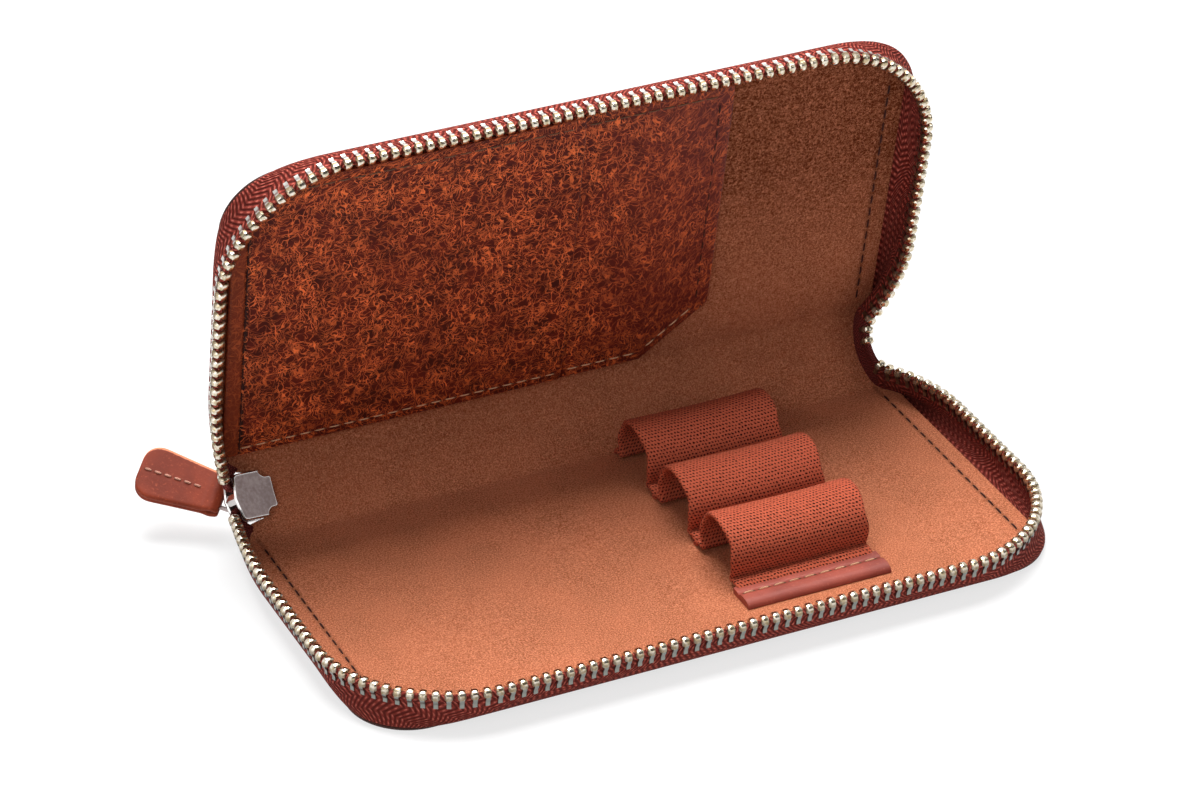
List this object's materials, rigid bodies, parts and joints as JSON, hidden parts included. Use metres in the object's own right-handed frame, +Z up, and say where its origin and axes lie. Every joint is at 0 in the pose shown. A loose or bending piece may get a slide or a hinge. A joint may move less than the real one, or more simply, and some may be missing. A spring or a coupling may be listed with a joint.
{
  "type": "pen case",
  "caption": "Soft zip case of shallow leather halves on a folding spine, with elastic pen loops in the tray and a slit pocket in the lid.",
  "frame": {"origin": "centre of the tray's flat outer face, on the surface that the case stands on", "axes": "+X along the fold towards the right, -Y towards the tray's free front edge, +Z up; the lid stands open behind the tray"},
  "size_m": [0.1685, 0.0991, 0.0902],
  "materials": {
    "cover_leather": "smooth red-brown leather with raw edges",
    "pull_leather": "red-brown leather, lighter raw edges",
    "strip_leather": "red-brown leather, softly rolled edge",
    "pocket_leather": "dark marbled leather with fine lighter strokes",
    "board": "hidden stiffening board",
    "suede_lining": "orange-brown suede",
    "zip_tape": "red-brown herringbone tape",
    "zip_teeth": "pale nickel, slightly warm",
    "dark_thread": "dark maroon thread",
    "light_thread": "tan thread",
    "elastic": "rust-brown woven elastic",
    "slider_metal": "satin grey metal with bright edges",
    "link_metal": "grey wire"
  },
  "bodies": {
    "tray": {"tray_cover": "cover_leather", "tray_board": "board", "tray_lining": "suede_lining", "tray_tape": "zip_tape", "tray_teeth": "zip_teeth", "tray_seam_left": "dark_thread", "tray_seam_right": "dark_thread", "loop_front": "elastic", "loop_middle": "elastic", "loop_back": "elastic", "loop_strip": "strip_leather", "loop_strip_stitches": "light_thread"},
    "spine": {"spine_cover": "cover_leather", "spine_reinforcement": "board", "spine_lining": "suede_lining", "spine_tape_left": "zip_tape", "spine_tape_right": "zip_tape"},
    "lid": {"lid_cover": "cover_leather", "lid_board": "board", "lid_lining": "suede_lining", "lid_tape": "zip_tape", "lid_teeth": "zip_teeth", "lid_seam_left": "dark_thread", "lid_seam_right": "dark_thread", "pocket_panel": "pocket_leather", "pocket_stitches_light": "light_thread", "pocket_stitches_dark": "dark_thread"},
    "slider": {"slider_body": "slider_metal", "slider_bail": "slider_metal"},
    "pull": {"pull_link": "link_metal", "pull_tab": "pull_leather", "pull_tab_stitches": "light_thread"}
  },
  "joints": [
    {"name": "tray_fold", "type": "hinge", "parent": "tray", "child": "spine", "pos_m": [0, 0.0364, 0.00125], "axis": [-1, 0, 0], "range_deg": [-39.75, 50.25]},
    {"name": "lid_fold", "type": "hinge", "parent": "spine", "child": "lid", "pos_m": [0, 0.04759, 0.0147], "axis": [-1, 0, 0], "range_deg": [-39.75, 50.25]},
    {"name": "slider_travel", "type": "slide", "parent": "spine", "child": "slider", "axis": [-0.9613, -0.2119, 0.1763], "range_m": [-0.0012, 0.0003]},
    {"name": "pull_swing", "type": "hinge", "parent": "slider", "child": "pull", "pos_m": [-0.07189, 0.04313, 0.00762], "axis": [0.6179, 0.6261, 0.4757], "range_deg": [-95, 15]}
  ],
  "couplings": [
    {"joint": "lid_fold", "follows": "tray_fold", "ratio": 1}
  ]
}
